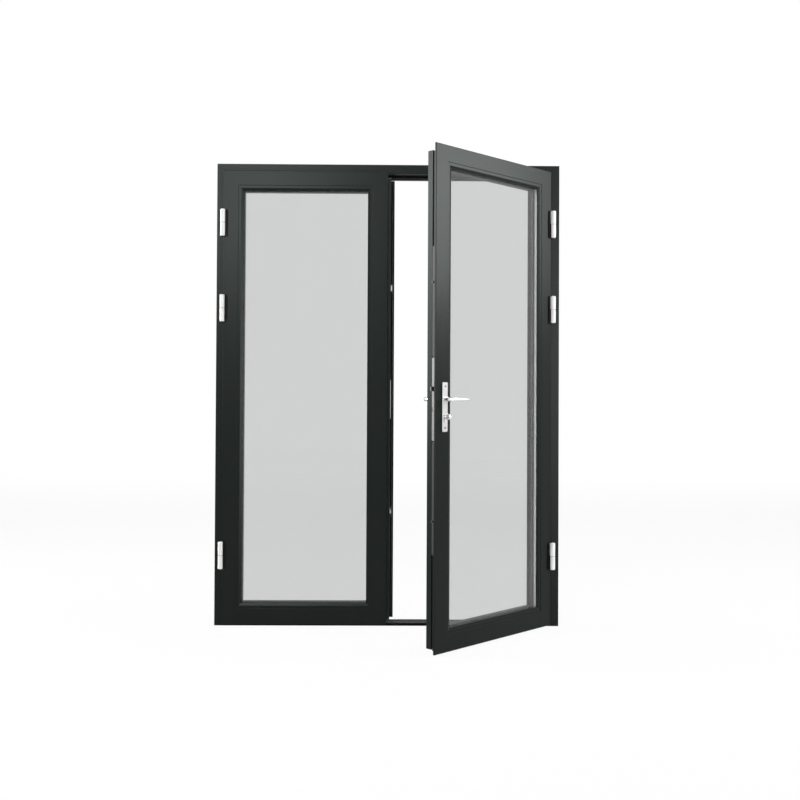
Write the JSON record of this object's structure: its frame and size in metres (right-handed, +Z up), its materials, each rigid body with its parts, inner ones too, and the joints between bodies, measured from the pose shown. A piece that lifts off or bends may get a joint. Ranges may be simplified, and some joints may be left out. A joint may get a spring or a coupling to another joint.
{
  "type": "french doors",
  "caption": "Glazed french doors in a dark grey metal frame with a low threshold, white hinges and a lever handle; one leaf closed and the other standing open.",
  "frame": {"origin": "middle of the underside of the threshold, in the middle of the frame's depth", "axes": "+X to the right and -Y towards the viewer, who sees the hinges; +Z up"},
  "size_m": [1.6, 0.6298, 2.15],
  "materials": {
    "coat": "satin powder coat",
    "hinge_white": "gloss white",
    "handle_silver": "satin silver",
    "steel": "brushed",
    "dark_steel": "black",
    "aluminium": "mill",
    "rubber": "matt",
    "plastic": "matt",
    "glass": "clear"
  },
  "bodies": {
    "frame": {"frame_head": "coat", "frame_jamb_left": "coat", "frame_jamb_right": "coat", "threshold": "aluminium", "frame_corner_cleats": "aluminium", "frame_seal": "rubber", "hinge_frame_halves": "hinge_white", "hinge_pins": "steel", "flush_bolt_keeps": "steel"},
    "left_leaf": {"left_hinge_stile": "coat", "left_meeting_stile": "coat", "left_top_rail": "coat", "left_bottom_rail": "coat", "left_corner_cleats": "aluminium", "left_front_pane": "glass", "left_rear_pane": "glass", "left_glass_spacer": "aluminium", "left_glazing_beads": "coat", "left_glazing_gaskets": "rubber", "left_setting_blocks": "plastic", "left_lip_seal": "rubber", "left_bottom_brush": "rubber", "left_hinge_leaf_halves": "hinge_white", "left_hinge_wings": "plastic", "astragal": "coat", "astragal_end_caps": "plastic", "astragal_seal": "rubber", "strike_plate": "steel", "cam_keeps": "steel"},
    "right_leaf": {"right_hinge_stile": "coat", "right_meeting_stile": "coat", "right_top_rail": "coat", "right_bottom_rail": "coat", "right_corner_cleats": "aluminium", "right_front_pane": "glass", "right_rear_pane": "glass", "right_glass_spacer": "aluminium", "right_glazing_beads": "coat", "right_glazing_gaskets": "rubber", "right_setting_blocks": "plastic", "right_lip_seal": "rubber", "right_bottom_brush": "rubber", "right_hinge_leaf_halves": "hinge_white", "right_hinge_wings": "plastic", "lock_case": "steel", "lock_faceplate": "steel", "lock_cylinder": "steel", "handle_backplates": "handle_silver", "backplate_screws": "steel"},
    "handle": {"lever_handles": "handle_silver", "lever_spindle": "steel"},
    "latch": {"latch_bolt": "steel"},
    "turn": {"thumbturn": "handle_silver"},
    "bolt": {"deadbolt": "steel"},
    "upper_locking_rod": {"upper_rod": "dark_steel"},
    "lower_locking_rod": {"lower_rod": "dark_steel"},
    "top_bolt": {"top_flush_bolt": "steel"},
    "bottom_bolt": {"bottom_flush_bolt": "steel"}
  },
  "joints": [
    {"name": "left_leaf_swing", "type": "hinge", "parent": "frame", "child": "left_leaf", "pos_m": [-0.77, -0.0625, 1], "axis": [0, 0, -1], "range_deg": [0, 110]},
    {"name": "right_leaf_swing", "type": "hinge", "parent": "frame", "child": "right_leaf", "pos_m": [0.77, -0.0625, 1], "axis": [0, 0, 1], "range_deg": [-43.5, 66.5]},
    {"name": "lever_turn", "type": "hinge", "parent": "right_leaf", "child": "handle", "pos_m": [0.23369, -0.54042, 1.057], "axis": [-0.6884, 0.7254, 0], "range_deg": [0, 45], "stiffness_Nm_per_rad": 1.2, "springref_deg": -28.65},
    {"name": "latch_slide", "type": "slide", "parent": "right_leaf", "child": "latch", "axis": [0.7254, 0.6884, 0], "range_m": [0, 0.02]},
    {"name": "deadbolt_slide", "type": "slide", "parent": "right_leaf", "child": "bolt", "axis": [-0.7254, -0.6884, 0], "range_m": [0, 0.024]},
    {"name": "thumbturn_turn", "type": "hinge", "parent": "right_leaf", "child": "turn", "pos_m": [0.23369, -0.54042, 0.985], "axis": [-0.6884, 0.7254, 0], "range_deg": [0, 360]},
    {"name": "upper_rod_slide", "type": "slide", "parent": "right_leaf", "child": "upper_locking_rod", "axis": [0, 0, 1], "range_m": [0, 0.024]},
    {"name": "lower_rod_slide", "type": "slide", "parent": "right_leaf", "child": "lower_locking_rod", "axis": [0, 0, -1], "range_m": [0, 0.024]},
    {"name": "top_bolt_slide", "type": "slide", "parent": "left_leaf", "child": "top_bolt", "axis": [0, 0, 1], "range_m": [0, 0.03]},
    {"name": "bottom_bolt_slide", "type": "slide", "parent": "left_leaf", "child": "bottom_bolt", "axis": [0, 0, -1], "range_m": [0, 0.02]}
  ],
  "couplings": [
    {"joint": "latch_slide", "follows": "lever_turn", "m_per_rad": 0.0254},
    {"joint": "thumbturn_turn", "follows": "deadbolt_slide", "rad_per_m": 261.5},
    {"joint": "upper_rod_slide", "follows": "deadbolt_slide", "ratio": 1},
    {"joint": "lower_rod_slide", "follows": "deadbolt_slide", "ratio": 1}
  ]
}
